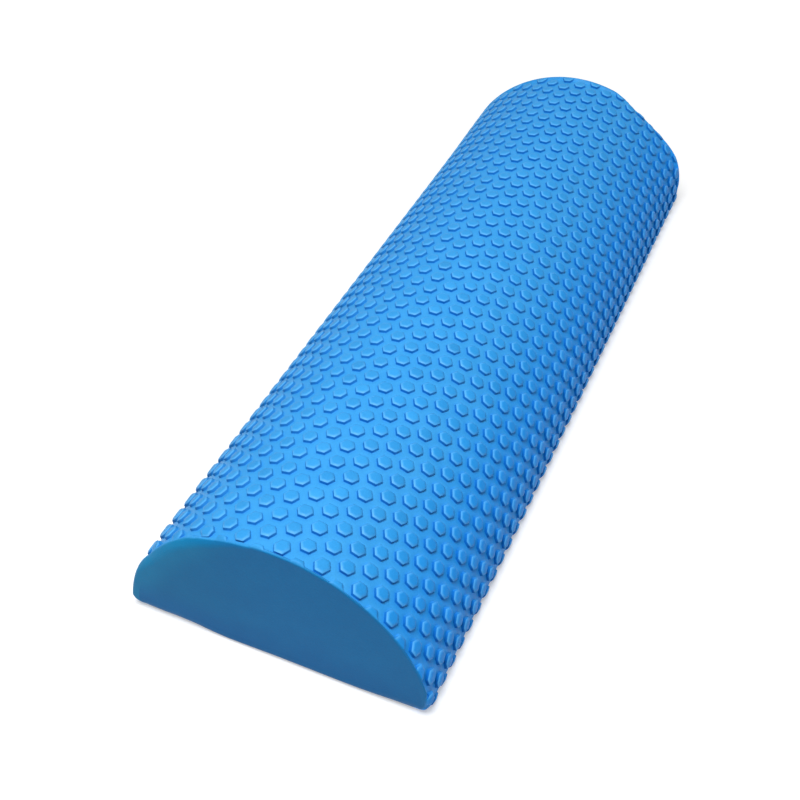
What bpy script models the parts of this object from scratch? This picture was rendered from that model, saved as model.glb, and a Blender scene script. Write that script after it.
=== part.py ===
"""Half round foam roller: a foam core, wrapped in bonded foam sheet.

Metres, +Z up. The origin is the centre of the flat base, +Y runs along the roller and the arch is up.
An arched cover lies over the core and turns under both base corners. A facing closes each end, inside the
cover's rim and down to the floor. A base sheet lies between the cover's turned edges and the facings.
"""

import math

import bmesh
import bpy

# Driving dimensions
LENGTH = 0.450  # over both ends
RADIUS = 0.0765  # of the arch, over its studs
BASE_CORNER = 0.0065  # rounding between the arch and the flat base
SHEET_THICK = 0.004  # arched cover and base sheet, cut from one stock
TURN_UNDER = 0.002  # flat strip of the cover beneath each base corner
FACING_THICK = 0.005  # half disc on each end of the core
BOND_GAP = 0.0003  # glue line between bonded faces
END_ROUND = 0.0035  # soft edge round each end
END_LAND = 0.0003  # least flat width left beside that edge
INNER_CORNER = 0.0005  # least rounding of a base corner inside the cover

# Facets of the round stretches
ARCH_FACETS = 72
CORNER_FACETS = 6
END_FACETS = 4

# Worked out from the sizes above
LAYER = SHEET_THICK + BOND_GAP  # depth of the core beneath the outside
CORE_LENGTH = LENGTH - 2 * (FACING_THICK + BOND_GAP)
END_EDGE = min(END_ROUND, SHEET_THICK - END_LAND, FACING_THICK - END_LAND)

# Finishes: colour, roughness
STUDDED_FOAM = ((0.016, 0.345, 0.830), 0.40)
SMOOTH_FOAM = ((0.008, 0.243, 0.610), 0.50)
CORE_FOAM = ((0.045, 0.230, 0.560), 0.80)


def arc(centre_x, centre_z, radius, start, end, facets):
    """Points at equal angles along an arc, both ends included."""
    turns = [start + (end - start) * step / facets for step in range(facets + 1)]
    return [(centre_x + radius * math.cos(turn), centre_z + radius * math.sin(turn)) for turn in turns]


def corner_reach(inset, corner):
    """How far from the middle plane a base corner's centre lies, so that its arc touches arch and base."""
    return math.sqrt((RADIUS - inset - corner) ** 2 - (inset + corner) ** 2)


def half_round(inset):
    """Section (x, z) of the roller at a depth beneath its outside, from the right end of its flat side over
    the arch to the left end."""
    corner = max(BASE_CORNER - inset, INNER_CORNER)
    reach = corner_reach(inset, corner)
    rise = inset + corner
    lean = math.atan2(rise, reach)
    points = arc(reach, rise, corner, -math.pi / 2, lean, CORNER_FACETS)
    points += arc(0, 0, RADIUS - inset, lean, math.pi - lean, ARCH_FACETS)[1:]
    points += arc(-reach, rise, corner, math.pi - lean, math.pi * 3 / 2, CORNER_FACETS)[1:]
    return points


def lip_edge():
    """How far from the middle plane the cover's edges end beneath the base."""
    return corner_reach(0, BASE_CORNER) - TURN_UNDER


def foam(name, colour, roughness):
    material = bpy.data.materials.new(name)
    material.use_nodes = True
    shader = material.node_tree.nodes["Principled BSDF"]
    shader.inputs["Base Color"].default_value = (*colour, 1)
    shader.inputs["Roughness"].default_value = roughness
    shader.inputs["Metallic"].default_value = 0
    return material


def drawn_out(outline, length):
    """Solid of an outline in XZ, drawn out along Y and centred on the middle of its length."""
    shape = bmesh.new()
    near_face = shape.faces.new([shape.verts.new((x, -length / 2, z)) for x, z in outline])
    grown = bmesh.ops.extrude_face_region(shape, geom=[near_face])["geom"]
    far_verts = [item for item in grown if isinstance(item, bmesh.types.BMVert)]
    bmesh.ops.translate(shape, verts=far_verts, vec=(0, length, 0))
    bmesh.ops.recalc_face_normals(shape, faces=shape.faces)
    return shape


def make_piece(name, shape, material, carrier, along=0):
    """Puts a shape into the scene as one named piece, at a place along the roller."""
    mesh = bpy.data.meshes.new(name)
    shape.to_mesh(mesh)
    shape.free()
    mesh.shade_smooth()
    mesh.set_sharp_from_angle(angle=math.radians(35))
    mesh.materials.append(material)
    piece = bpy.data.objects.new(name, mesh)
    bpy.context.collection.objects.link(piece)
    piece.parent = carrier
    piece.location.y = along


def make_core(material, carrier):
    """Half-round log that fills the cover from facing to facing."""
    make_piece("foam_core", drawn_out(half_round(LAYER), CORE_LENGTH), material, carrier)


def cover_outline(depth):
    """Section of the cover's outside, or of a layer beneath it, from lip to lip over the arch."""
    lip = lip_edge()
    return [(lip, depth), *half_round(depth), (-lip, depth)]


def cover_stations():
    """Places (y, depth) round the cover's lengthwise section: the outside, turned down at each end, then
    the inside."""
    far_end = arc(LENGTH / 2 - END_EDGE, END_EDGE, END_EDGE, -math.pi / 2, 0, END_FACETS)
    near_end = [(-y, depth) for y, depth in reversed(far_end)]
    return [*near_end, *far_end, (LENGTH / 2, SHEET_THICK), (-LENGTH / 2, SHEET_THICK)]


def make_cover(material, carrier):
    """Sheet over the arch, its edges turned under both base corners."""
    shape = bmesh.new()
    rows = []
    for y, depth in cover_stations():
        rows.append([shape.verts.new((x, y, z)) for x, z in cover_outline(depth)])
    for row, after in zip(rows, rows[1:] + rows[:1]):
        for here, ahead in zip(range(len(row)), range(1, len(row))):
            shape.faces.new((row[here], row[ahead], after[ahead], after[here]))
    shape.faces.new([row[0] for row in rows])
    shape.faces.new([row[-1] for row in rows])
    bmesh.ops.recalc_face_normals(shape, faces=shape.faces)
    make_piece("studded_cover", shape, material, carrier)


def make_base_sheet(material, carrier):
    """Flat sheet that the roller rests on."""
    side = lip_edge() - BOND_GAP
    outline = [(side, 0), (side, SHEET_THICK), (-side, SHEET_THICK), (-side, 0)]
    make_piece("base_sheet", drawn_out(outline, CORE_LENGTH), material, carrier)


def make_facings(material, carrier):
    """Half disc on each end of the core, flush with the cover's rim, its foot rounded like that rim."""
    foot = lip_edge() - BOND_GAP
    outline = [(foot, 0), (foot, LAYER), *half_round(LAYER), (-foot, LAYER), (-foot, 0)]
    for name, side in (("near_end_facing", -1), ("far_end_facing", 1)):
        shape = drawn_out(outline, FACING_THICK)
        foot_edge = [
            edge for edge in shape.edges
            if all(vert.co.z == 0 and vert.co.y * side > 0 for vert in edge.verts)
        ]
        bmesh.ops.bevel(
            shape, geom=foot_edge, offset=END_EDGE, segments=END_FACETS, profile=0.5, affect="EDGES"
        )
        make_piece(name, shape, material, carrier, side * (LENGTH - FACING_THICK) / 2)


def clear_scene():
    for item in list(bpy.data.objects):
        bpy.data.objects.remove(item, do_unlink=True)


def main():
    clear_scene()
    studded = foam("studded_foam", *STUDDED_FOAM)
    smooth = foam("smooth_foam", *SMOOTH_FOAM)
    inner = foam("core_foam", *CORE_FOAM)
    roller = bpy.data.objects.new("roller", None)
    bpy.context.collection.objects.link(roller)
    make_core(inner, roller)
    make_cover(studded, roller)
    make_base_sheet(smooth, roller)
    make_facings(smooth, roller)


main()
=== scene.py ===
"""Half round foam roller: its studded cover, smooth ends, base sheet and core, on a pale studio floor.

Metres, +Z up. The origin is the centre of the flat base and +Y runs along the roller.
"""

import math

import bmesh
import bpy
import numpy as np
from bpy.props import FloatProperty, FloatVectorProperty, PointerProperty
from mathutils import Matrix, Vector


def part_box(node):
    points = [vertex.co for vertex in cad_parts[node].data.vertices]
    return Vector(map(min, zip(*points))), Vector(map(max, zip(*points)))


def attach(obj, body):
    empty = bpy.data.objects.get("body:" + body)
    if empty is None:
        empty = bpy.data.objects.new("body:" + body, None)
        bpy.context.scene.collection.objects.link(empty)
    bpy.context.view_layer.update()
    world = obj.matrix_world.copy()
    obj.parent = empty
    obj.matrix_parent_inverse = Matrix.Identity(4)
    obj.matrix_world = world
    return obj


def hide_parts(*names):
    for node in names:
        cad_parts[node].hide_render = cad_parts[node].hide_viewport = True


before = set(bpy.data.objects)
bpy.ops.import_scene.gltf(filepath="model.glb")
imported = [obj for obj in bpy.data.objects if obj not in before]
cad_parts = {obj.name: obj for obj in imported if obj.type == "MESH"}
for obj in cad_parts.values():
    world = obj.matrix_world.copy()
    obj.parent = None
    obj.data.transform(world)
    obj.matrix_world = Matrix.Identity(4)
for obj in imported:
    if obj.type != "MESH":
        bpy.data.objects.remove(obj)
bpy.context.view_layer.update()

bl_info = {
    "name": "Half Round Foam Roller",
    "version": (1, 0, 0),
    "blender": (4, 5, 0),
    "location": "View3D > Sidebar > Foam Roller",
    "description": "Makes a half round foam roller with a studded arch",
    "category": "Add Mesh",
}

COVER_LOW, COVER_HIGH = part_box("studded_cover")
BASE_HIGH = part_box("base_sheet")[1]
CORE_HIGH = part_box("foam_core")[1]
NEAR_LOW, NEAR_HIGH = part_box("near_end_facing")

LENGTH = COVER_HIGH.y - COVER_LOW.y
RADIUS = COVER_HIGH.z  # of the arch, over its studs
SHEET_THICK = BASE_HIGH.z
LAYER = RADIUS - CORE_HIGH.z  # depth of the core beneath the outside
FACING_THICK = NEAR_HIGH.y - NEAR_LOW.y
CORE_END = CORE_HIGH.y

PARALLEL = 1e-6  # how near two flat coordinates lie when they are one
QUARTER = math.pi / 2
LEAST_CORNER = 0.0005  # rounding of an inner layer's base corners
LONGEST_FOOT = 0.92 * FACING_THICK  # of the soft edge beneath the roller, along it
ZONE_STRETCH = 1.2  # flat length of the zone of the soft edges, in widest edges
LIP_FADE = 1.3  # how much faster the studs sink away round a base corner than it turns
CUT_BARE = 0.8  # share of the plain strip at which the end's colour sets in
CUT_FADE = 0.4  # share of the studs' fade over which it does

# Soft edge of an end beneath the roller: a share of the base's half width, counted from the corner on its
# side, and the edge's size there as a share of the foot's
LEFT_FOOT = (
    (-1, 0.9), (-0.75, 0.72), (-0.63, 0.68), (-0.5, 0.93), (-0.38, 1.4), (-0.26, 1.65), (-0.14, 1.48),
    (0, 1.65),
)
RIGHT_FOOT = ((0, 1.9), (0.15, 1.5), (0.275, 1.08), (0.4, 0.92), (0.52, 0.87), (1, 0.9))

# The same over the arch: a share of its half run from the crest, and shares of the end's usual size and of
# its odd one, which the near end has on its left and the far end where it is pressed in
NEAR_ARCH = (
    (-1, 0.6, 0), (-0.82, 0.7, 0), (-0.68, 0, 1), (-0.27, 0, 1), (-0.07, 1.2, 0), (0, 1, 0),
    (0.3, 0.6, 0), (0.9, 0.6, 0),
)
FAR_ARCH = ((-1, 1, 0), (0.2, 1, 0), (0.36, 0, 1), (0.5, 0, 1), (0.75, 1, 0), (0.9, 1, 0))
LEFT_BARE = ((-1, 1), (-0.4, 1), (-0.1, 0))  # the same for the plain strip beside the near end

# Slow waves in the foam: their size, radians per metre along and across the roller, and where they start
SWAY, SWAY_ALONG, SWAY_ACROSS, SWAY_START = 0.0002, 9.1, 21, 0.6
SWELL, SWELL_ALONG, SWELL_ACROSS, SWELL_STARTS = 0.0015, 13.7, 17, (1.1, 0.4)

# Share of the settings' bulge, its middle and width in degrees from the crest, the end of the roller that
# it grows towards, and the stretch over which it grows
BULGES = (
    (0.85, 66, 13, 1, 0.035),
    (0.30, -62, 20, 1, 0.09),
    (0.28, 84, 18, -1, 0.44),
    (-0.12, 0, 45, 1, 0.9),
    (-0.18, 30, 25, 1, 0.5),
    (0.10, 42, 20, 1, 0.05),
    (-0.14, -74, 12, -1, 0.025),
)
BULGE_FOOT = 0.004  # height over which the bulges set in above the floor

SIDES = 6  # of a stud
SEED = 11  # of the studs' random draws
MOST_DRAW = 2  # how far a draw of height goes, in its own spread
SHOULDER_SHARES = np.array([0, 0.3, 0.6, 0.85, 1])
SHOULDER_POWER = 1.8

# How much of each look the rings of a stud's cell have, from the flat top outwards: painted shade in the
# crease, a painted highlight on the rim, painted light on the wall, the random tone with painted flank
# shade, and the painted shade of the top
RING_SHARES = {
    "crease": (0, 0, 0, 0, 0.85, 1, 0.7, 0.12, 0),
    "stud_rim_highlight": (0, 0.3, 0.9, 1, 0.2, 0, 0, 0, 0),
    "stud_wall_light": (0, 0, 0, 0, 1, 1, 1, 0.3, 0),
    "stud_tone_and_shade": (1, 1, 1, 1, 1, 0.3, 0, 0, 0),
    "stud_top_shade": (1, 1, 1, 1, 1, 0.3, 0, 0, 0),
}

FLANK_RUN = 0.05  # distance round from the crest by which a flank's looks have mostly set in
# How much weaker the painted crease shade is on the left flank and on the right flank
LEFT_CREASE_LOSS = 0.35
RIGHT_CREASE_LOSS = 0.1
# Painted shade on stud tops: how much darker they are on the left and right flanks, and how much more the
# deeper top colour grows on the right
LEFT_FLANK_TOP_SHADE = 0.10
RIGHT_FLANK_TOP_SHADE = 0.05
RIGHT_SHADE_GAIN = 2.5

# Points of the meshes
CORNER_POINTS = 9  # round a base corner and round the lip beneath it
ARCH_POINTS = 121
EDGE_CUTS = 15  # across the zone of the soft edges
FOOT_POINTS = 40  # along a facing's foot
CORE_ROWS = 41
BASE_ACROSS, BASE_ALONG = 9, 33

# Rows of a facing's front, by how far they are shrunk towards its middle: fine steps, then coarse ones
FACING_MIDDLE = 0.4 * RADIUS  # height
FINE_ROWS, FINE_SHARE = 12, 0.25
COARSE_ROWS, LAST_SHARE = 7, 0.97

STUD_SHARP = math.radians(50)  # angle over which an edge is sharp
PLAIN_SHARP = math.radians(40)

# Roughness, shine and strength of relief
SKIN = (0.46, 0.11, 0.15)
BASE_SKIN = (0.62, 0.15, 0.30)
CUT_FOAM = (0.80, 0.15, 0.5)

# Tints of the foam, as shares of its red, green and blue: the blotches, then painted shade in creases, a
# painted highlight on rims, painted light on walls and painted shade on tops
DEEP_BLOTCH = (0.90, 0.95, 0.97)
PALE_BLOTCH = (1.15, 1.04, 1.02)
PAINTED_CREASE_SHADE = (0.0, 0.33, 0.60)
PAINTED_RIM_HIGHLIGHT = (2.6, 1.34, 1.18)
PAINTED_WALL_LIGHT = (2.6, 1.60, 1.32)
PAINTED_TOP_SHADE = (0.55, 0.92, 1.02)

# Stretches over which one colour turns into another, in metres
# Painted shade: where the cover turns to its shaded colour down its right side
COVER_SHADE_RIGHT = (0.030, 0.095)  # round from the crest
CUT_EDGE_LEFT = (-0.015, -0.060)
FACING_LEFT = (0.020, -0.080)  # across
# Painted shade: where a facing darkens towards the floor
FACING_LOW_SHADE = (0.026, 0.004)  # up
FACING_RIM = (0.058, RADIUS - SHEET_THICK)  # out from the middle of the roller's foot
RIM_LEFT = (-0.012, -0.050)

BLOTCH_LOW, BLOTCH_HIGH = 0.3, 0.7  # what is used of the blotches' noise
GRAIN_SWING, GRAIN_LEAST = 0.24, 0.88  # brightness that the grain gives
GLOSS_SWING = 0.06
RIM_DULLING, CREASE_DULLING = -0.1, 0.6
PORES = 0.8  # in the width of a grain
RELIEF_DEPTH = 0.25  # of the pores, as a share of a grain

# Places of a mix node's numbers and colours among its inputs and outputs
NUMBER_A, NUMBER_B = 2, 3
COLOUR_A, COLOUR_B, COLOUR_RESULT = 6, 7, 2


class StudSettings(bpy.types.PropertyGroup):
    """The raised hexagons and the pattern that they stand in"""

    pitch: FloatProperty(
        name="Pitch", description="From stud to stud along the roller",
        default=0.01090, min=0.004, unit="LENGTH", precision=5,
    )
    column: FloatProperty(
        name="Column", description="From one column of studs to the next, round the arch",
        default=0.00955, min=0.004, unit="LENGTH", precision=5,
    )
    corner: FloatProperty(
        name="Corner", description="From a stud's middle to the corners of its top",
        default=0.00380, min=0.001, unit="LENGTH", precision=5,
    )
    height: FloatProperty(
        name="Height", description="How far a stud stands above the ground round it",
        default=0.00190, min=0.0002, unit="LENGTH", precision=5,
    )
    shoulder: FloatProperty(
        name="Shoulder", description="Width of the rounded band round a stud's top",
        default=0.0016, unit="LENGTH", precision=5,
    )
    drop: FloatProperty(
        name="Drop", description="How far that band falls towards the wall",
        default=0.0007, unit="LENGTH", precision=5,
    )
    dish: FloatProperty(
        name="Dish", description="How far the middle of a stud's top is sunk",
        default=0.00005, unit="LENGTH", precision=5,
    )
    draft: FloatProperty(
        name="Draft", description="How much wider a stud is at its foot than at its top",
        default=0.00008, unit="LENGTH", precision=5,
    )
    fillet: FloatProperty(
        name="Fillet", description="Width of the hollow round a stud's foot",
        default=0.00010, unit="LENGTH", precision=5,
    )
    # The margin's darker ground is painted shade
    margin: FloatProperty(
        name="Margin", description="Width of the darker ground beside that hollow",
        default=0.00050, unit="LENGTH", precision=5,
    )
    first: FloatVectorProperty(
        name="First Stud", description="Middle of one stud: distance round from the crest, and along",
        default=(0.00138, -0.00121), size=2, unit="LENGTH", precision=5,
    )
    column_lean: FloatProperty(
        name="Column Lean", description="Angle of the columns of studs to the roller's length",
        default=0.0119, subtype="ANGLE",
    )
    row_lean: FloatProperty(
        name="Row Lean", description="Angle of the rows of studs to the roller's section",
        default=0.0232, subtype="ANGLE",
    )
    unevenness: FloatProperty(
        name="Unevenness", description="Share by which one stud's height differs from another's",
        default=0.05, min=0, max=0.3, subtype="FACTOR",
    )
    # Painted shade: the deeper colour of a stud's top, stronger on the right flank
    shade: FloatProperty(
        name="Shade", description="How much deeper a stud's top is in colour; on the right, more",
        default=0.26, min=0, max=0.28, subtype="FACTOR",
    )
    tone_spread: FloatProperty(
        name="Tone Spread", description="How much one stud's brightness differs from another's",
        default=0.03, min=0, max=0.3, subtype="FACTOR",
    )


class SheetSettings(bpy.types.PropertyGroup):
    """The sheets and facings that wrap the core"""

    base_corner: FloatProperty(
        name="Base Corner", description="Rounding between the arch and the flat base",
        default=0.0065, unit="LENGTH", precision=5,
    )
    turn_under: FloatProperty(
        name="Turn Under", description="Flat strip of the cover beneath each base corner",
        default=0.002, unit="LENGTH", precision=5,
    )
    seam: FloatProperty(
        name="Seam", description="Gap between bonded pieces where it shows",
        default=0.00002, unit="LENGTH", precision=6,
    )
    near_round: FloatProperty(
        name="Near Round", description="Soft edge of the near end from its crest to its right",
        default=0.0020, unit="LENGTH", precision=5,
    )
    left_round: FloatProperty(
        name="Left Round", description="Soft edge of the near end on its left",
        default=0.0065, unit="LENGTH", precision=5,
    )
    foot_round: FloatProperty(
        name="Foot Round", description="Soft edge between an end and the base",
        default=0.0040, unit="LENGTH", precision=5,
    )
    far_round: FloatProperty(
        name="Far Round", description="Soft edge of the far end",
        default=0.0024, unit="LENGTH", precision=5,
    )
    worn_round: FloatProperty(
        name="Worn Round", description="Soft edge of the far end where it is pressed in most",
        default=0.0085, unit="LENGTH", precision=5,
    )
    left_bare: FloatProperty(
        name="Left Bare", description="Width of the plain strip beside the near end on its left",
        default=0.0024, unit="LENGTH", precision=5,
    )
    far_bare: FloatProperty(
        name="Far Bare", description="Width of the plain strip beside the far end",
        default=0.0020, unit="LENGTH", precision=5,
    )
    fade: FloatProperty(
        name="Fade", description="Length over which the studs sink away towards an end",
        default=0.0013, unit="LENGTH", precision=5,
    )
    bulge: FloatProperty(
        name="Bulge", description="Size of the bulges and hollows, the largest low on the far end's right",
        default=0.0026, unit="LENGTH", precision=5,
    )


class FoamSettings(bpy.types.PropertyGroup):
    """Colours and grain of the foam"""

    studded: FloatVectorProperty(
        name="Studded", description="Colour of the studded cover",
        default=(0.043, 0.338, 0.752), size=3, subtype="COLOR", min=0, max=1,
    )
    # Painted shade: the cover's more saturated colour low on its shaded right side
    studded_shaded_low: FloatVectorProperty(
        name="Studded Low", description="Colour of the studded cover low on its right side",
        default=(0.017, 0.330, 0.905), size=3, subtype="COLOR", min=0, max=1,
    )
    smooth: FloatVectorProperty(
        name="Smooth", description="Colour of the smooth facings and base sheet",
        default=(0.003, 0.170, 0.434), size=3, subtype="COLOR", min=0, max=1,
    )
    # Painted shade: the facings darken towards the floor
    smooth_low_shade: FloatVectorProperty(
        name="Smooth Low", description="Colour of the facings close to the floor",
        default=(0.0, 0.144, 0.395), size=3, subtype="COLOR", min=0, max=1,
    )
    smooth_pale: FloatVectorProperty(
        name="Smooth Pale", description="Colour of the near rim on its left",
        default=(0.003, 0.222, 0.470), size=3, subtype="COLOR", min=0, max=1,
    )
    smooth_left: FloatVectorProperty(
        name="Smooth Left", description="Colour of the facings at their left",
        default=(0.0, 0.165, 0.385), size=3, subtype="COLOR", min=0, max=1,
    )
    core: FloatVectorProperty(
        name="Core", description="Colour of the core",
        default=(0.045, 0.230, 0.560), size=3, subtype="COLOR", min=0, max=1,
    )
    grain: FloatProperty(
        name="Grain", description="Size of the foam's fine grain",
        default=0.0008, unit="LENGTH", precision=5,
    )
    mottle: FloatProperty(
        name="Mottle", description="Size of the foam's soft blotches",
        default=0.014, unit="LENGTH", precision=5,
    )
    # Painted shade: the darkening at the foot of a stud's wall stands in for the shade there
    crease: FloatProperty(
        name="Crease", description="How much darker the foam is at the foot of a stud's wall",
        default=0.98, min=0, max=1, subtype="FACTOR",
    )
    # Painted highlight: the paler band round a stud's top stands in for light caught by its shoulder
    rim: FloatProperty(
        name="Rim", description="How much paler the foam is on the band round a stud's top",
        default=0.8, min=0, max=1, subtype="FACTOR",
    )


class StageSettings(bpy.types.PropertyGroup):
    """Floor, lamps and camera"""

    floor_size: FloatProperty(
        name="Floor Size", description="Side of the square floor", default=12, unit="LENGTH",
    )
    floor: FloatVectorProperty(
        name="Floor", description="Colour of the floor",
        default=(0.66, 0.66, 0.66), size=3, subtype="COLOR", min=0, max=1,
    )
    clear: FloatProperty(
        name="Clear", description="Strength that is added where the floor is seen beside the object",
        default=0.36, min=0, max=1,
    )
    lamp_watts: FloatProperty(
        name="Lamp Watts", description="Power of the overhead lamp", default=18.6, unit="POWER",
    )
    lamp_place: FloatVectorProperty(
        name="Lamp Place", description="Middle of the overhead lamp",
        default=(-0.02, -0.42, 1.26), size=3, subtype="TRANSLATION",
    )
    lamp_sides: FloatVectorProperty(
        name="Lamp Sides", description="Sides of the overhead lamp, across and along the roller",
        default=(0.62, 0.75), size=2, unit="LENGTH",
    )
    sky: FloatProperty(
        name="Sky", description="Strength of the even light from all round", default=0.14, min=0,
    )
    clear_at: FloatProperty(
        name="Clear At", description="How far from the object the floor is wholly white",
        default=1.2, unit="LENGTH",
    )
    azimuth: FloatProperty(
        name="Azimuth", description="Camera's turn round the object, from -Y towards +X",
        default=math.radians(21.90), subtype="ANGLE",
    )
    elevation: FloatProperty(
        name="Elevation", description="Camera's height angle",
        default=math.radians(42.97), subtype="ANGLE",
    )
    roll: FloatProperty(
        name="Roll", description="Camera's turn about its own axis",
        default=math.radians(2.204), subtype="ANGLE",
    )
    distance: FloatProperty(
        name="Distance", description="From the camera to the plane of the object's origin",
        default=0.7123, unit="LENGTH", precision=4,
    )
    aside: FloatVectorProperty(
        name="Aside", description="Camera's offset to its own right and up",
        default=(-0.03214, -0.02004), size=2, unit="LENGTH", precision=5,
    )
    lens: FloatProperty(
        name="Lens", description="Focal length on a 36 mm sensor, in millimetres",
        default=54.81, unit="CAMERA",
    )


class RollerSettings(bpy.types.PropertyGroup):
    """All that can be changed on the roller and its stage"""

    studs: PointerProperty(type=StudSettings)
    sheets: PointerProperty(type=SheetSettings)
    foam: PointerProperty(type=FoamSettings)
    stage: PointerProperty(type=StageSettings)


class Section:
    """The half-round section of the roller, and the soft edges where it meets the two ends

    A place on it is a run, the distance round the outside from the crest, and a depth beneath the outside.
    """

    def __init__(self, sheets):
        self.corner = sheets.base_corner
        self.reach = math.sqrt((RADIUS - self.corner) ** 2 - self.corner**2)
        self.arch_turn = math.atan2(self.reach, self.corner)
        self.arch_run = RADIUS * self.arch_turn
        self.corner_run = self.corner * (math.pi - self.arch_turn)
        self.flat_run = self.arch_run + self.corner_run
        self.lip = self.reach - sheets.turn_under
        self.lip_run = self.flat_run + sheets.turn_under
        self.half_run = self.flat_run + self.reach
        foot = sheets.foot_round
        self.near_edge = self.edge_places(NEAR_ARCH, foot, sheets.near_round, sheets.left_round)
        self.far_edge = self.edge_places(FAR_ARCH, foot, sheets.far_round, sheets.worn_round)
        self.widest_edge = max(self.near_edge[:, 1].max(), self.far_edge[:, 1].max())
        self.near_bare = np.array(LEFT_BARE) * (self.arch_run, sheets.left_bare)
        self.far_bare = sheets.far_bare

    def edge_places(self, arch, foot, usual, odd):
        """Rows of (run, size) of an end's soft edge, from the tables of shares and the sizes."""
        rows = [(share * self.reach - self.flat_run, size * foot) for share, size in LEFT_FOOT]
        rows += [(share * self.arch_run, size * usual + more * odd) for share, size, more in arch]
        rows += [(share * self.reach + self.flat_run, size * foot) for share, size in RIGHT_FOOT]
        return np.array(rows)

    def place(self, run, depth):
        """Place (x, z) for a run and a depth.

        On the arch it is the point at the angle run / radius from the crest, on a circle smaller by the
        depth. Past the arch the same holds on the base corner's circle, and past that the strip is flat.
        """
        side = np.sign(run)
        run = np.abs(run)
        arch = run <= self.arch_run
        turn = np.where(
            arch, run / RADIUS,
            np.minimum(self.arch_turn + (run - self.arch_run) / self.corner, math.pi),
        )
        under = np.maximum(run - self.flat_run, 0)
        radius = np.where(arch, RADIUS, self.corner) - depth
        x = np.where(arch, 0, self.reach) + radius * np.sin(turn) - under
        z = np.where(arch, 0, self.corner) + radius * np.cos(turn)
        return side * x, z

    def nearest(self, x, z):
        """Run and depth of a place: its nearest of the arch, the base corner and the flat base."""
        side = np.where(x < 0, -1, 1)
        x = np.abs(x)
        from_crest = np.arctan2(x, z)
        arch = RADIUS - np.hypot(x, z)
        run = np.where(arch < z, RADIUS * from_crest, self.half_run - x)
        depth = np.minimum(arch, z)
        across, up = x - self.reach, z - self.corner
        about = np.arctan2(across, up)
        beside = (across > 0) & (about > self.arch_turn)
        depth = np.where(beside, self.corner - np.hypot(across, up), depth)
        run = np.where(beside, self.arch_run + self.corner * (about - self.arch_turn), run)
        return side * run, depth

    def edge_sizes(self, run, end):
        """How far the soft edge goes along the roller and how deep, at the near (-1) or far (+1) end.

        It is as long as it is deep, but beneath the roller it is no longer than a facing can carry.
        """
        near = np.interp(run, *self.near_edge.T)
        far = np.interp(run, *self.far_edge.T)
        deep = np.where(end < 0, near, far)
        most = np.where(np.abs(run) > self.arch_run, LONGEST_FOOT, deep)
        return np.minimum(deep, most), deep

    def bare_width(self, run, end):
        """Width of the plain strip beside an end at a run."""
        return np.where(end < 0, np.interp(run, *self.near_bare.T), self.far_bare)

    def set_back(self, x, z, end):
        """How far the end's surface lies behind its plane: a quarter ellipse down to the outside."""
        run, depth = self.nearest(x, z)
        long, deep = self.edge_sizes(run, end)
        return long * (1 - np.sqrt(1 - np.clip(1 - depth / deep, 0, 1) ** 2))

    def layer_outline(self, depth):
        """Closed outline (x, z) of a layer at a depth, from the right end of its flat side over the arch.

        Its corners keep the outside's centre while they can, and then the least radius.
        """
        corner = max(self.corner - depth, LEAST_CORNER)
        height = depth + corner
        reach = math.sqrt((RADIUS - depth - corner) ** 2 - height**2)
        lean = math.atan2(height, reach)
        right = np.linspace(-QUARTER, lean, CORNER_POINTS)
        arch = np.linspace(lean, math.pi - lean, ARCH_POINTS)[1:-1]
        corner_points = np.stack([reach + corner * np.cos(right), height + corner * np.sin(right)], 1)
        arch_points = (RADIUS - depth) * np.stack([np.cos(arch), np.sin(arch)], 1)
        return np.concatenate([corner_points, arch_points, corner_points[::-1] * (-1, 1)])


def smooth_step(share):
    """Soft rise from 0 to 1, flat at both ends: share squared, times three less twice the share."""
    share = np.clip(share, 0, 1)
    return share * share * (3 - 2 * share)


def new_mesh(name, points, corners, starts):
    """A mesh from its points, the point index of each face corner, and each face's first corner."""
    mesh = bpy.data.meshes.new(name)
    mesh.vertices.add(len(points))
    mesh.vertices.foreach_set("co", np.asarray(points, np.float32).ravel())
    mesh.loops.add(len(corners))
    mesh.loops.foreach_set("vertex_index", np.asarray(corners, np.int32))
    mesh.polygons.add(len(starts))
    mesh.polygons.foreach_set("loop_start", np.asarray(starts, np.int32))
    mesh.update(calc_edges=True)
    mesh.validate()
    return mesh


def read(items, name, kind, width=1):
    """One flat array of what each item holds under a name."""
    values = np.empty(len(items) * width, kind)
    items.foreach_get(name, values)
    return values


def mesh_arrays(mesh):
    """Points, face corners and face starts of a mesh."""
    points = read(mesh.vertices, "co", np.float32, width=3).reshape(-1, 3).astype(float)
    corners = read(mesh.loops, "vertex_index", np.int32)
    return points, corners, read(mesh.polygons, "loop_start", np.int32)


def set_values(mesh, name, values):
    """Stores a number for each point of a mesh."""
    layer = mesh.attributes.new(name, "FLOAT", "POINT")
    layer.data.foreach_set("value", np.asarray(values, np.float32).ravel())


def face_outwards(mesh):
    """Turns all faces of a closed mesh outwards."""
    shape = bmesh.new()
    shape.from_mesh(mesh)
    bmesh.ops.recalc_face_normals(shape, faces=shape.faces)
    shape.to_mesh(mesh)
    shape.free()


def add_piece(name, mesh, material, node, sharp_over):
    """Puts a foam piece into the scene in place of its CAD node."""
    mesh.shade_smooth()
    mesh.set_sharp_from_angle(angle=sharp_over)
    mesh.materials.append(material)
    piece = bpy.data.objects.new(name, mesh)
    bpy.context.scene.collection.objects.link(piece)
    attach(piece, "root")
    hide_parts(node)
    return piece


def set_uv(mesh, flat):
    """A UV map in metres, from the flat place of each point."""
    layer = mesh.uv_layers.new(name="flat")
    corners = read(mesh.loops, "vertex_index", np.int32)
    layer.uv.foreach_set("vector", flat[corners].astype(np.float32).ravel())


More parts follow.
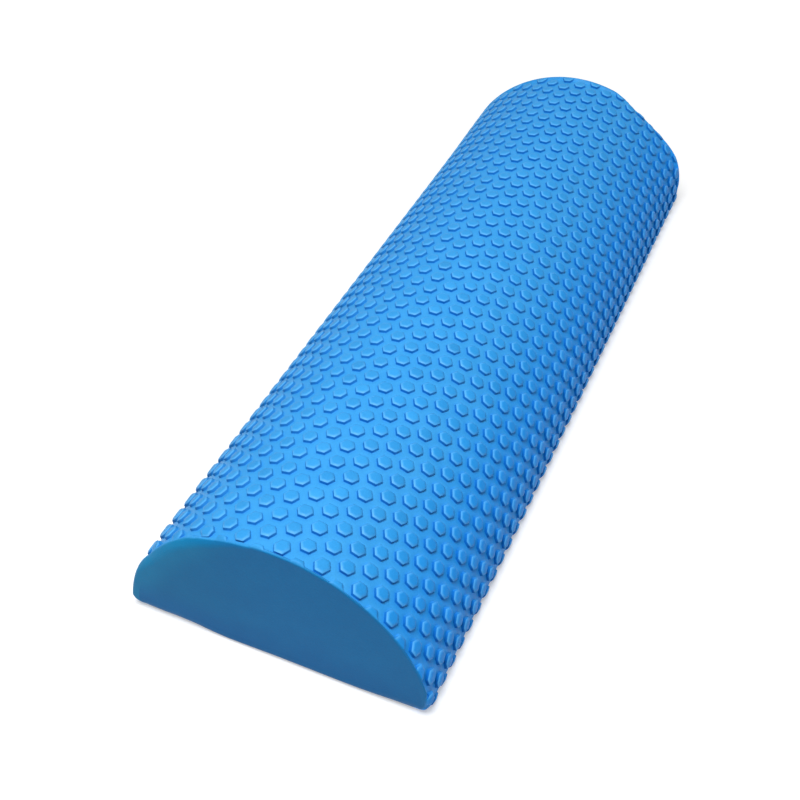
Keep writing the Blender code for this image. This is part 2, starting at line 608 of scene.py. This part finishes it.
def stud_profile(studs):
    """Radius and rise of the rings of a stud's cell, from the flat top outwards.

    The shoulder falls with the share of its width to the shoulder's power. Below it are the wall, the
    hollow at its foot and a margin of ground that is darkened by painted shade. A radius is measured to
    the hexagon's corners.
    """
    shoulder = studs.corner - studs.shoulder * (1 - SHOULDER_SHARES)
    falls = studs.height - studs.drop * SHOULDER_SHARES**SHOULDER_POWER
    foot = studs.corner + studs.draft
    hollow = foot + studs.fillet
    radii = [*shoulder, foot, hollow, hollow + studs.margin, studs.pitch / math.sqrt(3)]
    rises = [*falls, studs.fillet, 0, 0, 0]
    return np.array([radii, rises])


def stud_cells(studs, section, half_along):
    """The flat outside of the cover: one six-sided cell for each stud, as points (run, along, rise).

    A cell's corners are the middles of the triangles between its stud and two neighbours. Inside them lie
    rings of the same shape, each with its own radius and rise, round the middle of the dished top. A
    painted highlight on the rim is palest on the sides that face the near end and, on the flanks, the
    crest. There the painted shade in the crease is darkest too, and it is fainter on the left flank. On
    the right flank, walls that face away get painted light and tops a painted shade, a deeper colour. On
    both flanks the tops are darkened by painted shade, besides each stud's random tone.
    """
    row = studs.pitch / 2
    across = np.array([studs.column, studs.column * studs.row_lean])
    along = np.array([-row * studs.column_lean, row])
    columns = math.ceil(section.lip_run / studs.column) + 1
    rows = math.ceil(half_along / row) + 2
    i, j = np.meshgrid(np.arange(-columns, columns + 1), np.arange(-rows, rows + 1))
    kept = (i + j) % 2 == 0
    i, j = i[kept], j[kept]
    middles = np.array(studs.first) + i[:, None] * across + j[:, None] * along

    steps = np.array([(1, 1), (0, 2), (-1, 1), (-1, -1), (0, -2), (1, -1)])
    neighbours = steps[:, :1] * across + steps[:, 1:] * along
    border = (neighbours + np.roll(neighbours, 1, axis=0)) / 3
    radii, rises = stud_profile(studs)
    ring_points = border[None] * (radii / radii[-1])[:, None, None]
    offsets = np.concatenate([np.zeros((1, 2)), ring_points.reshape(-1, 2)])

    draws = np.random.default_rng(SEED).normal(size=(len(middles), 2))
    uneven = 1 - studs.unevenness * np.minimum(np.abs(draws[:, :1]), MOST_DRAW) / MOST_DRAW
    rise = np.concatenate([[studs.height - studs.dish], np.repeat(rises, SIDES)])
    points = np.empty((len(middles), len(offsets), 3))
    points[:, :, :2] = middles[:, None] + offsets
    points[:, :, 2] = rise * uneven

    edge = np.arange(SIDES)
    after = (edge + 1) % SIDES
    fan = np.stack([0 * edge, 1 + edge, 1 + after], axis=1)
    ring = 1 + np.arange(len(radii) - 1)[:, None] * SIDES
    outer = ring + SIDES
    quads = np.stack([ring + edge, outer + edge, outer + after, ring + after], axis=2)
    base = (np.arange(len(middles)) * len(offsets))[:, None, None]
    corners = np.concatenate([(base + fan).reshape(-1), (base + quads.reshape(1, -1, 4)).reshape(-1)])
    sizes = np.repeat([3, 4], [len(middles) * len(fan), len(middles) * quads[..., 0].size])
    starts = np.concatenate([[0], np.cumsum(sizes)[:-1]])
    mesh = new_mesh("flat_cover", points.reshape(-1, 3), corners, starts)
    flank = np.tanh(middles[:, :1] / FLANK_RUN)
    right, left = np.maximum(flank, 0), np.maximum(-flank, 0)
    corner_ways = border / np.linalg.norm(border, axis=1, keepdims=True)

    def side_share(share, growth, lean, least=0):
        """Share at each corner, which grows as it faces the near end and, by the lean, the crest."""
        side = np.concatenate([-lean * flank, -np.ones_like(flank)], axis=1)
        facing = side / np.linalg.norm(side, axis=1, keepdims=True) @ corner_ways.T
        return np.clip(share + growth * facing, least, 1)

    # Painted shade in the creases, a painted highlight on the rims, painted light on walls and painted
    # shade on tops, each weighted by the way a side of the stud faces
    crease = side_share(share=0.6 - RIGHT_CREASE_LOSS * right, growth=0.55, lean=0.6, least=0.15)
    # Each stud's random brightness, less a painted shade on the tops of both flanks
    tone = studs.tone_spread * draws[:, 1:] - LEFT_FLANK_TOP_SHADE * left - RIGHT_FLANK_TOP_SHADE * right
    looks = {
        "crease": crease * (1 - LEFT_CREASE_LOSS * left),
        "stud_rim_highlight": side_share(share=0.5, growth=0.6, lean=1),
        "stud_wall_light": side_share(share=0.1, growth=-1, lean=1) * right,
        "stud_tone_and_shade": np.repeat(tone, SIDES, axis=1),
        "stud_top_shade": np.repeat(studs.shade * (1 + RIGHT_SHADE_GAIN * right), SIDES, axis=1),
    }
    for name, by_corner in looks.items():
        rings = np.array(RING_SHARES[name])[:, None] * by_corner[:, None]
        set_values(mesh, name, np.concatenate([rings[:, 0, :1], rings.reshape(len(middles), -1)], axis=1))
    return mesh


def cut_flat(mesh, run_cuts, along_cuts, half_run, half_along):
    """Trims a flat sheet to its half sizes, and adds an edge wherever it will bend."""
    shape = bmesh.new()
    shape.from_mesh(mesh)
    bmesh.ops.remove_doubles(shape, verts=shape.verts, dist=10 * PARALLEL)
    lines = [(0, side * place, place == half_run) for place in run_cuts for side in (-1, 1)]
    lines += [(1, side * place, place == half_along) for place in along_cuts for side in (-1, 1)]
    for axis, place, trims in lines:
        point, normal = Vector(), Vector()
        point[axis], normal[axis] = place, math.copysign(1, place)
        bmesh.ops.bisect_plane(
            shape, geom=shape.verts[:] + shape.edges[:] + shape.faces[:], dist=PARALLEL,
            plane_co=point, plane_no=normal, clear_outer=trims,
        )
    shape.to_mesh(mesh)
    shape.free()


def zip_rows(first, second, first_places, second_places):
    """Triangles between two rows of points whose places rise along the same line.

    Each step of one row is joined to the point that the other row has reached by the end of that step.
    """
    reached = np.searchsorted(second_places[1:], first_places[1:], side="left")
    passed = np.searchsorted(first_places[1:], second_places[1:], side="right")
    by_first = np.stack([first[:-1], first[1:], second[reached]], axis=1)
    by_second = np.stack([second[:-1], first[passed], second[1:]], axis=1)
    return np.concatenate([by_first, by_second])


def close_sheet(flat, half_run, half_along):
    """Faces that make a flat outside into a closed sheet: its inside, and the cut edge of each lip."""
    index = np.arange(len(flat))

    def border(axis, place):
        on = index[np.abs(flat[:, axis] - place) < 3 * PARALLEL]
        return on[np.argsort(flat[on, 1 - axis])]

    near, far = border(1, -half_along), border(1, half_along)
    inside = zip_rows(near, far, flat[near, 0], flat[far, 0])
    lips = [border(0, -half_run), border(0, half_run)]
    corners = np.concatenate([inside.ravel(), *lips])
    sizes = np.array([3] * len(inside) + [len(lip) for lip in lips])
    return corners, np.concatenate([[0], np.cumsum(sizes)[:-1]])


def settle(points, sheets):
    """Slackness of soft foam: long waves of a few tenths of a millimetre, and the bulges and hollows.

    The waves are sines of the place along and across. A bulge is a bell round an angle from the crest,
    and grows over a stretch towards its end of the roller. All fade out towards the base.
    """
    x, y, z = np.moveaxis(points, -1, 0)
    high = smooth_step(z / RADIUS)
    sway = SWAY * np.sin(SWAY_ALONG * y + SWAY_ACROSS * x + SWAY_START) * high
    along = np.sin(SWELL_ALONG * y + SWELL_STARTS[0])
    across = np.sin(SWELL_ACROSS * x + SWELL_STARTS[1])
    swell = SWELL * along * across * high
    turn = np.degrees(np.arctan2(x, z + PARALLEL))
    push = 0
    for share, middle, width, end, stretch in BULGES:
        bell = np.exp(-(((turn - middle) / width) ** 2)) * smooth_step(z / BULGE_FOOT)
        grown = smooth_step((end * y - LENGTH / 2 + stretch) / stretch)
        push = push + share * sheets.bulge * bell * grown / RADIUS
    return np.stack([x * (1 + swell + push) + sway, y, z * (1 + push)], axis=-1)


def edge_zone(section):
    """Flat places along the roller where the zone of the soft edges starts and ends."""
    start = LENGTH / 2 - section.widest_edge
    return start, start + section.widest_edge * ZONE_STRETCH


def wrap(flat, studs, sheets, section):
    """Folds the flat outside (run, along, rise) over the roller.

    Along the roller a point stays where it is up to the zone of the soft edges. There the flat length is
    shared out over a straight stretch, a part of an ellipse and a straight stretch inwards, down to the
    sheet's thickness. What sinks the ground beneath the studs' tops fades out towards the ends and round
    the base corners, and the studs with it. Returns the points, how much of the studs is left at each, and
    how far each lies on the cut edge.
    """
    run, along, rise = flat.T
    start, stop = edge_zone(section)
    long, deep = section.edge_sizes(run, along)
    straight = section.widest_edge - long
    last_turn = np.arccos(np.clip(1 - SHEET_THICK / deep, 0, 1))
    bent = (long + deep) / 2 * last_turn
    inwards = np.maximum(SHEET_THICK - deep, 0)
    gone = np.maximum(np.abs(along) - start, 0) / (stop - start) * (straight + bent + inwards)
    turn = np.clip((gone - straight) / bent, 0, 1) * last_turn
    down = np.maximum(gone - straight - bent, 0)
    to_end = section.widest_edge - np.minimum(gone, straight) - long * np.sin(turn)
    bare = section.bare_width(run, along)
    end_fade = smooth_step((to_end - bare) / sheets.fade)
    cut_edge = 1 - smooth_step((to_end - CUT_BARE * bare) / (CUT_FADE * sheets.fade))
    lip_fade = 1 - smooth_step((np.abs(run) - section.arch_run) / section.corner_run * LIP_FADE)
    left = end_fade * lip_fade
    sunk = left * (studs.height - rise)
    y = np.minimum(np.abs(along), start) + np.minimum(gone, straight) + (long - sunk) * np.sin(turn)
    depth = deep - (deep - sunk) * np.cos(turn) + down
    x, z = section.place(run, depth)
    return np.stack([x, np.sign(along) * y, z], axis=1), left, cut_edge


def rows_mesh(name, rows):
    """A closed mesh from rows of points, each row once round the piece, its first and last row filled."""
    count, around = rows.shape[:2]
    here = np.arange(around)
    after = (here + 1) % around
    row = np.arange(count - 1)[:, None] * around
    quads = np.stack([row + here, row + after, row + around + after, row + around + here], axis=2)
    caps = np.concatenate([here[::-1], (count - 1) * around + here])
    corners = np.concatenate([quads.ravel(), caps])
    starts = np.concatenate([np.arange(0, quads.size, 4), quads.size + np.array([0, around])])
    mesh = new_mesh(name, rows.reshape(-1, 3), corners, starts)
    face_outwards(mesh)
    return mesh


def feed(tree, place, value):
    """Gives an input its value: another node's output, a number or a colour."""
    if isinstance(value, bpy.types.NodeSocket):
        tree.links.new(value, place)
    else:
        place.default_value = value


def set_up(tree, node, **values):
    """Gives a node its values, each for the setting or the input of that name, with _ for a space."""
    for name, value in values.items():
        if hasattr(node, name):
            setattr(node, name, value)
        else:
            feed(tree, node.inputs[name.replace("_", " ")], value)
    return node


def shader_node(tree, kind, **values):
    """A new shader node of a kind, with its values."""
    return set_up(tree, tree.nodes.new("ShaderNode" + kind), **values)


def mapped(tree, value, **ranges):
    """Output of a node that maps a value from one range to another; each goes from 0 to 1 unless given."""
    return shader_node(tree, "MapRange", Value=value, **ranges).outputs["Result"]


def worked(tree, operation, *values, kind="Math"):
    """Output of a maths node whose inputs take the values in turn."""
    made = shader_node(tree, kind, operation=operation)
    for place, value in zip(made.inputs, values):
        feed(tree, place, value)
    return made.outputs[0]


def attribute(tree, name):
    """Output of a mesh's own attribute."""
    return shader_node(tree, "Attribute", attribute_name=name).outputs["Fac"]


def mixed(tree, factor, low, high):
    """Colour between a low colour and a high one; each is another node's output or three numbers."""
    made = shader_node(tree, "Mix", data_type="RGBA", Factor=factor)
    for place, colour in ((COLOUR_A, low), (COLOUR_B, high)):
        if not isinstance(colour, bpy.types.NodeSocket):
            colour = (*colour, 1)
        feed(tree, made.inputs[place], colour)
    return made.outputs[COLOUR_RESULT]


def turning(tree, value, stretch, low, high):
    """Colour that turns softly from a low colour into a high one as a value crosses a stretch."""
    start, stop = stretch
    share = mapped(tree, value, interpolation_type="SMOOTHSTEP", From_Min=start, From_Max=stop)
    return mixed(tree, share, low, high)


def tinted(colour, tint):
    """A colour times a tint, no brighter than white."""
    return [min(share * value, 1) for share, value in zip(tint, colour)]


def foam_material(name, colour, foam, finish, kind="plain"):
    """Closed-cell foam: soft blotches and fine grain; on the studs also their tone, rims and creases.

    The studded cover grows deeper in colour down its right side, a painted shade, and a facing towards its
    foot, also a painted shade, and towards its left. The near end has a paler rim on its left. On the
    studs the rims carry a painted highlight, the creases and the tops a painted shade, and the walls of
    the right flank painted light. A finish is a roughness, a shine and a relief.
    """
    roughness, shine, bump = finish
    studded = kind == "studded"
    material = bpy.data.materials.new(name)
    material.use_nodes = True
    tree = material.node_tree

    if studded:
        place = shader_node(tree, "UVMap", uv_map="flat").outputs["UV"]
    else:
        place = shader_node(tree, "TexCoord").outputs["Object"]
    noise = "TexNoise"
    blotches = shader_node(tree, noise, Vector=place, Scale=1 / foam.mottle, Detail=3, Roughness=0.55)
    grains = shader_node(tree, noise, Vector=place, Scale=1 / foam.grain, Detail=2, Roughness=0.6)
    cells = shader_node(tree, "TexVoronoi", Vector=place, Scale=PORES / foam.grain)
    grain = grains.outputs["Fac"]
    spread = mapped(tree, blotches.outputs["Fac"], From_Min=BLOTCH_LOW, From_Max=BLOTCH_HIGH)

    def blotched(base):
        return mixed(tree, spread, tinted(base, DEEP_BLOTCH), tinted(base, PALE_BLOTCH))

    shown = blotched(colour)
    split = shader_node(tree, "SeparateXYZ", Vector=place)
    across, up = split.outputs["X"], split.outputs["Z"]
    if studded:
        # Painted shade down the cover's right side
        shown = turning(tree, across, COVER_SHADE_RIGHT, shown, blotched(foam.studded_shaded_low))
        edge = turning(tree, across, CUT_EDGE_LEFT, blotched(foam.smooth), blotched(foam.smooth_pale))
        shown = mixed(tree, attribute(tree, "cut_edge"), shown, edge)
    elif kind == "facing":
        shown = turning(tree, across, FACING_LEFT, shown, blotched(foam.smooth_left))
        outwards = shader_node(tree, "VectorMath", operation="DISTANCE", Vector=place)
        outwards.inputs[1].default_value = (0, -LENGTH / 2, 0)
        rim = turning(tree, outwards.outputs["Value"], FACING_RIM, shown, blotched(foam.smooth_pale))
        shown = turning(tree, across, RIM_LEFT, shown, rim)
        # Painted shade towards the facing's foot
        shown = turning(tree, up, FACING_LOW_SHADE, shown, blotched(foam.smooth_low_shade))

    brightness = worked(tree, "MULTIPLY_ADD", grain, GRAIN_SWING, GRAIN_LEAST)
    if studded:
        # Each stud's random tone, with the painted shade of the flanks' tops
        brightness = worked(tree, "ADD", attribute(tree, "stud_tone_and_shade"), brightness)
    shaded = shader_node(tree, "VectorMath", operation="SCALE", Vector=shown, Scale=brightness)
    shown = shaded.outputs[0]
    rough = mapped(tree, grain, To_Min=roughness - GLOSS_SWING, To_Max=roughness + GLOSS_SWING)
    if studded:
        # Painted shade on the stud tops: a deeper colour, more on the right flank
        deeper = worked(tree, "MULTIPLY", shown, PAINTED_TOP_SHADE, kind="VectorMath")
        shown = mixed(tree, attribute(tree, "stud_top_shade"), shown, deeper)
        # Painted highlight on the rims, painted shade in the creases and painted light on the right
        # flank's walls; the rims and creases also change the roughness
        for look, share, tint, dulling in (
            ("stud_rim_highlight", foam.rim, PAINTED_RIM_HIGHLIGHT, RIM_DULLING),
            ("crease", foam.crease, PAINTED_CREASE_SHADE, CREASE_DULLING),
            ("stud_wall_light", 1, PAINTED_WALL_LIGHT, 0),
        ):
            amount = worked(tree, "MULTIPLY", attribute(tree, look), share)
            shown = mixed(tree, amount, shown, tinted(colour, tint))
            rough = worked(tree, "MULTIPLY_ADD", amount, dulling, rough)

    pores = worked(tree, "ADD", cells.outputs["Distance"], grain)
    relief = shader_node(tree, "Bump", Strength=bump, Distance=RELIEF_DEPTH * foam.grain, Height=pores)
    set_up(
        tree, tree.nodes["Principled BSDF"], Base_Color=shown, Roughness=rough,
        Normal=relief.outputs["Normal"], Specular_IOR_Level=shine, Metallic=0,
    )
    return material


class MakeCover(bpy.types.Operator):
    """Make the studded sheet over the arch"""

    bl_idname = "foam_roller.make_cover"
    bl_label = "Make Studded Cover"

    def execute(self, context):
        roller = context.scene.foam_roller
        studs, sheets, foam = roller.studs, roller.sheets, roller.foam
        section = Section(sheets)
        start, stop = edge_zone(section)
        lip = section.lip_run
        run_cuts = [*(section.arch_run + np.linspace(0, section.corner_run, CORNER_POINTS)), lip]
        flat_mesh = stud_cells(studs, section, stop)
        cut_flat(flat_mesh, run_cuts, np.linspace(start, stop, EDGE_CUTS), lip, stop)
        looks = flat_mesh.attributes
        values = {name: read(looks[name].data, "value", np.float32) for name in RING_SHARES}
        flat, corners, starts = mesh_arrays(flat_mesh)
        bpy.data.meshes.remove(flat_mesh)
        more_corners, more_starts = close_sheet(flat, lip, stop)
        points, left, cut_edge = wrap(flat, studs, sheets, section)
        values = {name: each * left for name, each in values.items()}
        values["cut_edge"] = cut_edge
        mesh = new_mesh(
            "studded_sheet", settle(points, sheets), np.concatenate([corners, more_corners]),
            np.concatenate([starts, len(corners) + more_starts]),
        )
        for name, each in values.items():
            set_values(mesh, name, each)
        set_uv(mesh, flat[:, :2])
        face_outwards(mesh)
        material = foam_material("studded_foam_skin", foam.studded, foam, SKIN, "studded")
        add_piece("roller_cover", mesh, material, "studded_cover", STUD_SHARP)
        return {"FINISHED"}


class MakeFacings(bpy.types.Operator):
    """Make the smooth half disc on each end"""

    bl_idname = "foam_roller.make_facings"
    bl_label = "Make End Facings"

    def execute(self, context):
        roller = context.scene.foam_roller
        sheets, foam = roller.sheets, roller.foam
        section = Section(sheets)
        material = foam_material("smooth_end_skin", foam.smooth, foam, SKIN, "facing")
        for name, node, end in (("near_end", "near_end_facing", -1), ("far_end", "far_end_facing", 1)):
            mesh = rows_mesh(name, settle(self.rows(section, sheets, end), sheets))
            add_piece(name, mesh, material, node, PLAIN_SHARP)
        return {"FINISHED"}

    def rows(self, section, sheets, end):
        """The outline at the back, then the outline shrunk in steps towards a middle point at the front.

        The steps are finer near the outline. At the front each point lies behind the end's plane by the
        soft edge's set-back.
        """
        width = section.lip - sheets.seam
        depth = SHEET_THICK + sheets.seam
        rise = depth * (1 - np.cos(np.linspace(0, QUARTER, CORNER_POINTS)))
        tongue = np.stack([width + 0 * rise, rise], axis=1)
        side = np.linspace(-1, 1, FOOT_POINTS)[1:-1]
        foot = np.stack([side * width, 0 * side], axis=1)
        outline = np.concatenate([foot, tongue, section.layer_outline(depth), tongue[::-1] * (-1, 1)])
        middle = np.array([0, FACING_MIDDLE])
        fine = np.linspace(0, 1, FINE_ROWS)[:-1] ** 2 * FINE_SHARE
        coarse = np.linspace(FINE_SHARE, LAST_SHARE, COARSE_ROWS)
        shares = 1 - np.concatenate([fine, coarse])
        front = middle + shares[:, None, None] * (outline - middle)
        behind = section.set_back(front[..., 0], front[..., 1], end)
        y = end * (LENGTH / 2 - behind)
        front = np.stack([front[..., 0], y, front[..., 1]], axis=-1)
        back = np.insert(outline, 1, end * (LENGTH / 2 - FACING_THICK), axis=1)
        return np.concatenate([back[None], front])


class MakeBaseSheet(bpy.types.Operator):
    """Make the smooth sheet that the roller rests on"""

    bl_idname = "foam_roller.make_base_sheet"
    bl_label = "Make Base Sheet"

    def execute(self, context):
        roller = context.scene.foam_roller
        sheets, foam = roller.sheets, roller.foam
        half_width = Section(sheets).lip - sheets.seam
        half_length = LENGTH / 2 - FACING_THICK - sheets.seam
        across, along = np.linspace(-1, 1, BASE_ACROSS), np.linspace(-1, 1, BASE_ALONG)
        near = np.stack([across, -np.ones_like(across)], axis=1)
        right = np.stack([np.ones_like(along), along], axis=1)
        square = np.concatenate([near, right[1:], -near[1:], -right[1:-1]])
        corners = square * (half_width, half_length)
        rows = np.stack([np.insert(corners, 2, z, axis=1) for z in (0, SHEET_THICK)])
        mesh = rows_mesh("base", settle(rows, sheets))
        material = foam_material("smooth_base_skin", foam.smooth, foam, BASE_SKIN)
        add_piece("base", mesh, material, "base_sheet", PLAIN_SHARP)
        return {"FINISHED"}


class MakeCore(bpy.types.Operator):
    """Make the half-round log of foam inside"""

    bl_idname = "foam_roller.make_core"
    bl_label = "Make Core"

    def execute(self, context):
        roller = context.scene.foam_roller
        sheets, foam = roller.sheets, roller.foam
        outline = Section(sheets).layer_outline(LAYER)
        places = np.linspace(-CORE_END, CORE_END, CORE_ROWS)
        rows = np.stack([np.insert(outline, 1, y, axis=1) for y in places])
        mesh = rows_mesh("core", settle(rows, sheets))
        material = foam_material("core_cut_foam", foam.core, foam, CUT_FOAM)
        add_piece("core", mesh, material, "foam_core", PLAIN_SHARP)
        return {"FINISHED"}


class MakeStage(bpy.types.Operator):
    """Make the pale floor, the soft lamps and the camera"""

    bl_idname = "foam_roller.make_stage"
    bl_label = "Make Stage"

    def execute(self, context):
        stage = context.scene.foam_roller.stage
        self.make_floor(context.scene, stage)
        self.make_sky(context.scene, stage)
        self.make_lamp(context.scene, stage)
        self.make_camera(context.scene, stage)
        context.scene.view_settings.view_transform = "Standard"
        return {"FINISHED"}

    def make_floor(self, scene, stage):
        half = stage.floor_size / 2
        square = np.array([(-half, -half, 0), (half, -half, 0), (half, half, 0), (-half, half, 0)])
        mesh = new_mesh("floor", square, np.arange(4), [0])
        floor = bpy.data.objects.new("floor", mesh)
        scene.collection.objects.link(floor)
        material = bpy.data.materials.new("pale_floor")
        material.use_nodes = True
        tree = material.node_tree
        place = shader_node(tree, "TexCoord").outputs["Object"]
        away = shader_node(tree, "VectorMath", operation="LENGTH", Vector=place)
        clear = mapped(
            tree, away.outputs["Value"], interpolation_type="SMOOTHSTEP",
            From_Max=stage.clear_at, To_Min=stage.clear,
        )
        white = worked(tree, "MULTIPLY", clear, seen_directly(tree))
        set_up(
            tree, tree.nodes["Principled BSDF"], Base_Color=(*stage.floor, 1), Roughness=0.9,
            Specular_IOR_Level=0, Emission_Color=(1, 1, 1, 1), Emission_Strength=white,
        )
        mesh.materials.append(material)

    def make_sky(self, scene, stage):
        world = bpy.data.worlds.new("studio")
        world.use_nodes = True
        scene.world = world
        tree = world.node_tree
        strength = shader_node(tree, "Mix", data_type="FLOAT", Factor=seen_directly(tree))
        strength.inputs[NUMBER_A].default_value = stage.sky
        strength.inputs[NUMBER_B].default_value = 1
        set_up(tree, tree.nodes["Background"], Color=(1, 1, 1, 1), Strength=strength.outputs[0])

    def make_lamp(self, scene, stage):
        light = bpy.data.lights.new("overhead", "AREA")
        light.shape = "RECTANGLE"
        light.size, light.size_y = stage.lamp_sides
        light.energy = stage.lamp_watts
        lamp = bpy.data.objects.new("overhead", light)
        lamp.location = stage.lamp_place
        lamp.rotation_euler = Vector(stage.lamp_place).to_track_quat("Z", "Y").to_euler()
        scene.collection.objects.link(lamp)

    def make_camera(self, scene, stage):
        """The view axis goes from the turn and height angles, then the frame is rolled and moved aside."""
        turn, height = stage.azimuth, stage.elevation
        back = Vector((
            math.sin(turn) * math.cos(height), -math.cos(turn) * math.cos(height), math.sin(height),
        ))
        level = Vector((math.cos(turn), math.sin(turn), 0))
        upright = back.cross(level)
        right = math.cos(stage.roll) * level + math.sin(stage.roll) * upright
        up = math.cos(stage.roll) * upright - math.sin(stage.roll) * level
        data = bpy.data.cameras.new("camera")
        data.lens = stage.lens
        camera = bpy.data.objects.new("camera", data)
        place = back * stage.distance + right * stage.aside[0] + up * stage.aside[1]
        camera.matrix_world = Matrix.Translation(place) @ Matrix((right, up, back)).transposed().to_4x4()
        scene.collection.objects.link(camera)
        scene.camera = camera


def seen_directly(tree):
    """1 where the camera sees the surface, also in a reflection or through glass, and 0 for light."""
    path = shader_node(tree, "LightPath").outputs
    either = worked(tree, "MAXIMUM", path["Is Camera Ray"], path["Is Glossy Ray"])
    return worked(tree, "MAXIMUM", either, path["Is Transmission Ray"])


class RollerPanel(bpy.types.Panel):
    """Settings of the roller, and a button for each piece"""

    bl_idname = "VIEW3D_PT_foam_roller"
    bl_label = "Foam Roller"
    bl_space_type = "VIEW_3D"
    bl_region_type = "UI"
    bl_category = "Foam Roller"

    def draw(self, context):
        roller = context.scene.foam_roller
        for name in ("studs", "sheets", "foam", "stage"):
            group = getattr(roller, name)
            box = self.layout.box()
            for setting in group.bl_rna.properties:
                if setting.identifier not in ("rna_type", "name"):
                    box.prop(group, setting.identifier)
        for operator in OPERATORS:
            self.layout.operator(operator.bl_idname)


OPERATORS = (MakeCover, MakeFacings, MakeBaseSheet, MakeCore, MakeStage)
SETTINGS = (StudSettings, SheetSettings, FoamSettings, StageSettings, RollerSettings)
CLASSES = (*SETTINGS, *OPERATORS, RollerPanel)


def register():
    for item in CLASSES:
        bpy.utils.register_class(item)
    bpy.types.Scene.foam_roller = PointerProperty(type=RollerSettings)


def unregister():
    del bpy.types.Scene.foam_roller
    for item in reversed(CLASSES):
        bpy.utils.unregister_class(item)


def main():
    register()
    bpy.ops.foam_roller.make_stage()
    bpy.ops.foam_roller.make_cover()
    bpy.ops.foam_roller.make_facings()
    bpy.ops.foam_roller.make_base_sheet()
    bpy.ops.foam_roller.make_core()


if __name__ == "__main__":
    main()
